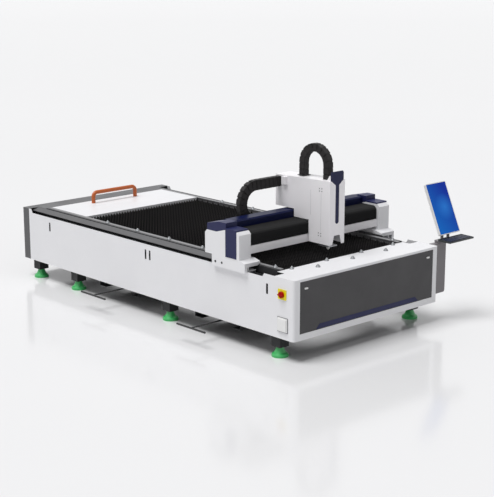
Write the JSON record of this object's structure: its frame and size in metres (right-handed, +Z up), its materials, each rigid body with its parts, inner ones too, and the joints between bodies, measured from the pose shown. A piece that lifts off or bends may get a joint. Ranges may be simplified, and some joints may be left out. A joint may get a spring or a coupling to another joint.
{
  "type": "fiber laser cutting machine",
  "caption": "Open flat-bed laser cutting machine: toothed slat bed on levelling feet, travelling gantry with cross carriage and cutting head, scrap drawers and a swivelling console.",
  "frame": {"origin": "floor level, at the middle of the box round the machine with its drawers shut", "axes": "+Y along the bed from the front face to the rear, +Z up, +X towards the console"},
  "size_m": [3.073, 5.02, 2.06],
  "materials": {
    "white_paint": "powder coat, satin",
    "dark_paint": "powder coat, satin",
    "black_paint": "primer, matt",
    "blue_paint": "powder coat, satin",
    "grey_paint": "powder coat, satin",
    "orange_paint": "paint, gloss",
    "green_paint": "paint, satin",
    "steel": "ground",
    "slat_steel": "mill scale, matt",
    "bellows_cloth": "coated cloth",
    "chain_plastic": "moulded, matt",
    "black_plastic": "moulded, matt",
    "white_plastic": "moulded, satin",
    "yellow_plastic": "moulded, satin",
    "red_plastic": "moulded, gloss",
    "screen": "lit display",
    "alloy": "machined"
  },
  "bodies": {
    "bed": {"bed_frame": "black_paint", "leg_blocks": "black_paint", "feet": "green_paint", "left_side_panel": "white_paint", "right_side_panel": "white_paint", "front_cover": "white_paint", "front_panel": "dark_paint", "front_stripe": "blue_paint", "rear_cap": "dark_paint", "rear_deck": "white_paint", "pull_handle": "orange_paint", "stud_strips": "white_paint", "ball_cups": "steel", "ball_rollers": "steel", "rail_covers": "grey_paint", "bed_rails": "steel", "bed_racks": "steel", "slats": "slat_steel", "slat_combs": "slat_steel", "drawer_guides": "black_paint", "switch_plate": "yellow_plastic", "socket_hatch": "white_plastic", "console_column": "grey_paint"},
    "front_drawer_body": {"front_drawer": "black_paint", "front_drawer_handle": "black_paint"},
    "rear_drawer_body": {"rear_drawer": "black_paint", "rear_drawer_handle": "black_paint"},
    "switch": {"switch_knob": "red_plastic"},
    "left_latch_body": {"left_latch": "white_plastic"},
    "right_latch_body": {"right_latch": "white_plastic"},
    "console": {"console_arm": "grey_paint", "keyboard_tray": "black_plastic", "keyboard": "black_plastic"},
    "monitor": {"monitor_shell": "white_plastic", "monitor_screen": "screen"},
    "gantry": {"gantry_beam": "white_paint", "beam_cover": "blue_paint", "left_bellows": "bellows_cloth", "right_bellows": "bellows_cloth", "cross_rails": "steel", "chain_tray": "grey_paint", "end_covers": "white_paint", "saddle_feet": "white_paint", "end_trims": "blue_paint", "drive_motors": "black_paint", "rail_blocks": "steel"},
    "left_pinion_body": {"left_pinion": "steel"},
    "right_pinion_body": {"right_pinion": "steel"},
    "carriage": {"carriage_plate": "alloy", "head_housing": "white_paint", "head_trim": "blue_paint", "cross_chain": "chain_plastic", "head_chain": "chain_plastic", "head_rails": "steel", "head_motor": "black_paint"},
    "screw": {"head_screw": "steel"},
    "head": {"head_slide": "alloy", "cutting_head": "alloy", "nozzle": "alloy"}
  },
  "joints": [
    {"name": "gantry_travel", "type": "slide", "parent": "bed", "child": "gantry", "axis": [0, 1, 0], "range_m": [-0.2, 3.05]},
    {"name": "left_pinion_turn", "type": "hinge", "parent": "gantry", "child": "left_pinion_body", "pos_m": [-1.1505, -1.42, 0.74], "axis": [0, 0, 1], "continuous": true},
    {"name": "right_pinion_turn", "type": "hinge", "parent": "gantry", "child": "right_pinion_body", "pos_m": [1.0435, -1.42, 0.74], "axis": [0, 0, 1], "continuous": true},
    {"name": "carriage_travel", "type": "slide", "parent": "gantry", "child": "carriage", "axis": [1, 0, 0], "range_m": [-0.55, 0.6], "deforming": ["left_bellows", "right_bellows", "cross_chain"]},
    {"name": "head_lift", "type": "slide", "parent": "carriage", "child": "head", "axis": [0, 0, 1], "range_m": [-0.015, 0.07], "deforming": ["head_chain"]},
    {"name": "screw_turn", "type": "hinge", "parent": "carriage", "child": "screw", "pos_m": [-0.0535, -1.604, 1.2], "axis": [0, 0, 1], "continuous": true},
    {"name": "front_drawer_pull", "type": "slide", "parent": "bed", "child": "front_drawer_body", "axis": [-1, 0, 0], "range_m": [0, 1.4]},
    {"name": "rear_drawer_pull", "type": "slide", "parent": "bed", "child": "rear_drawer_body", "axis": [-1, 0, 0], "range_m": [0, 1.4]},
    {"name": "switch_turn", "type": "hinge", "parent": "bed", "child": "switch", "pos_m": [-1.1835, -2.212, 0.705], "axis": [1, 0, 0], "range_deg": [0, 90]},
    {"name": "left_latch_turn", "type": "hinge", "parent": "bed", "child": "left_latch_body", "pos_m": [-1.0055, -2.37, 0.772], "axis": [0, 1, 0], "range_deg": [0, 90]},
    {"name": "right_latch_turn", "type": "hinge", "parent": "bed", "child": "right_latch_body", "pos_m": [0.8985, -2.37, 0.772], "axis": [0, 1, 0], "range_deg": [-90, 0]},
    {"name": "console_swivel", "type": "hinge", "parent": "bed", "child": "console", "pos_m": [1.1765, -2.285, 0.88], "axis": [0, 0, 1], "range_deg": [-30, 30]},
    {"name": "monitor_tilt", "type": "hinge", "parent": "console", "child": "monitor", "pos_m": [1.3315, -2.26, 0.9593], "axis": [1, 0, 0], "range_deg": [-15, 15]}
  ],
  "couplings": [
    {"joint": "left_pinion_turn", "follows": "gantry_travel", "rad_per_m": -50},
    {"joint": "right_pinion_turn", "follows": "gantry_travel", "rad_per_m": 50},
    {"joint": "screw_turn", "follows": "head_lift", "rad_per_m": -628.32}
  ]
}
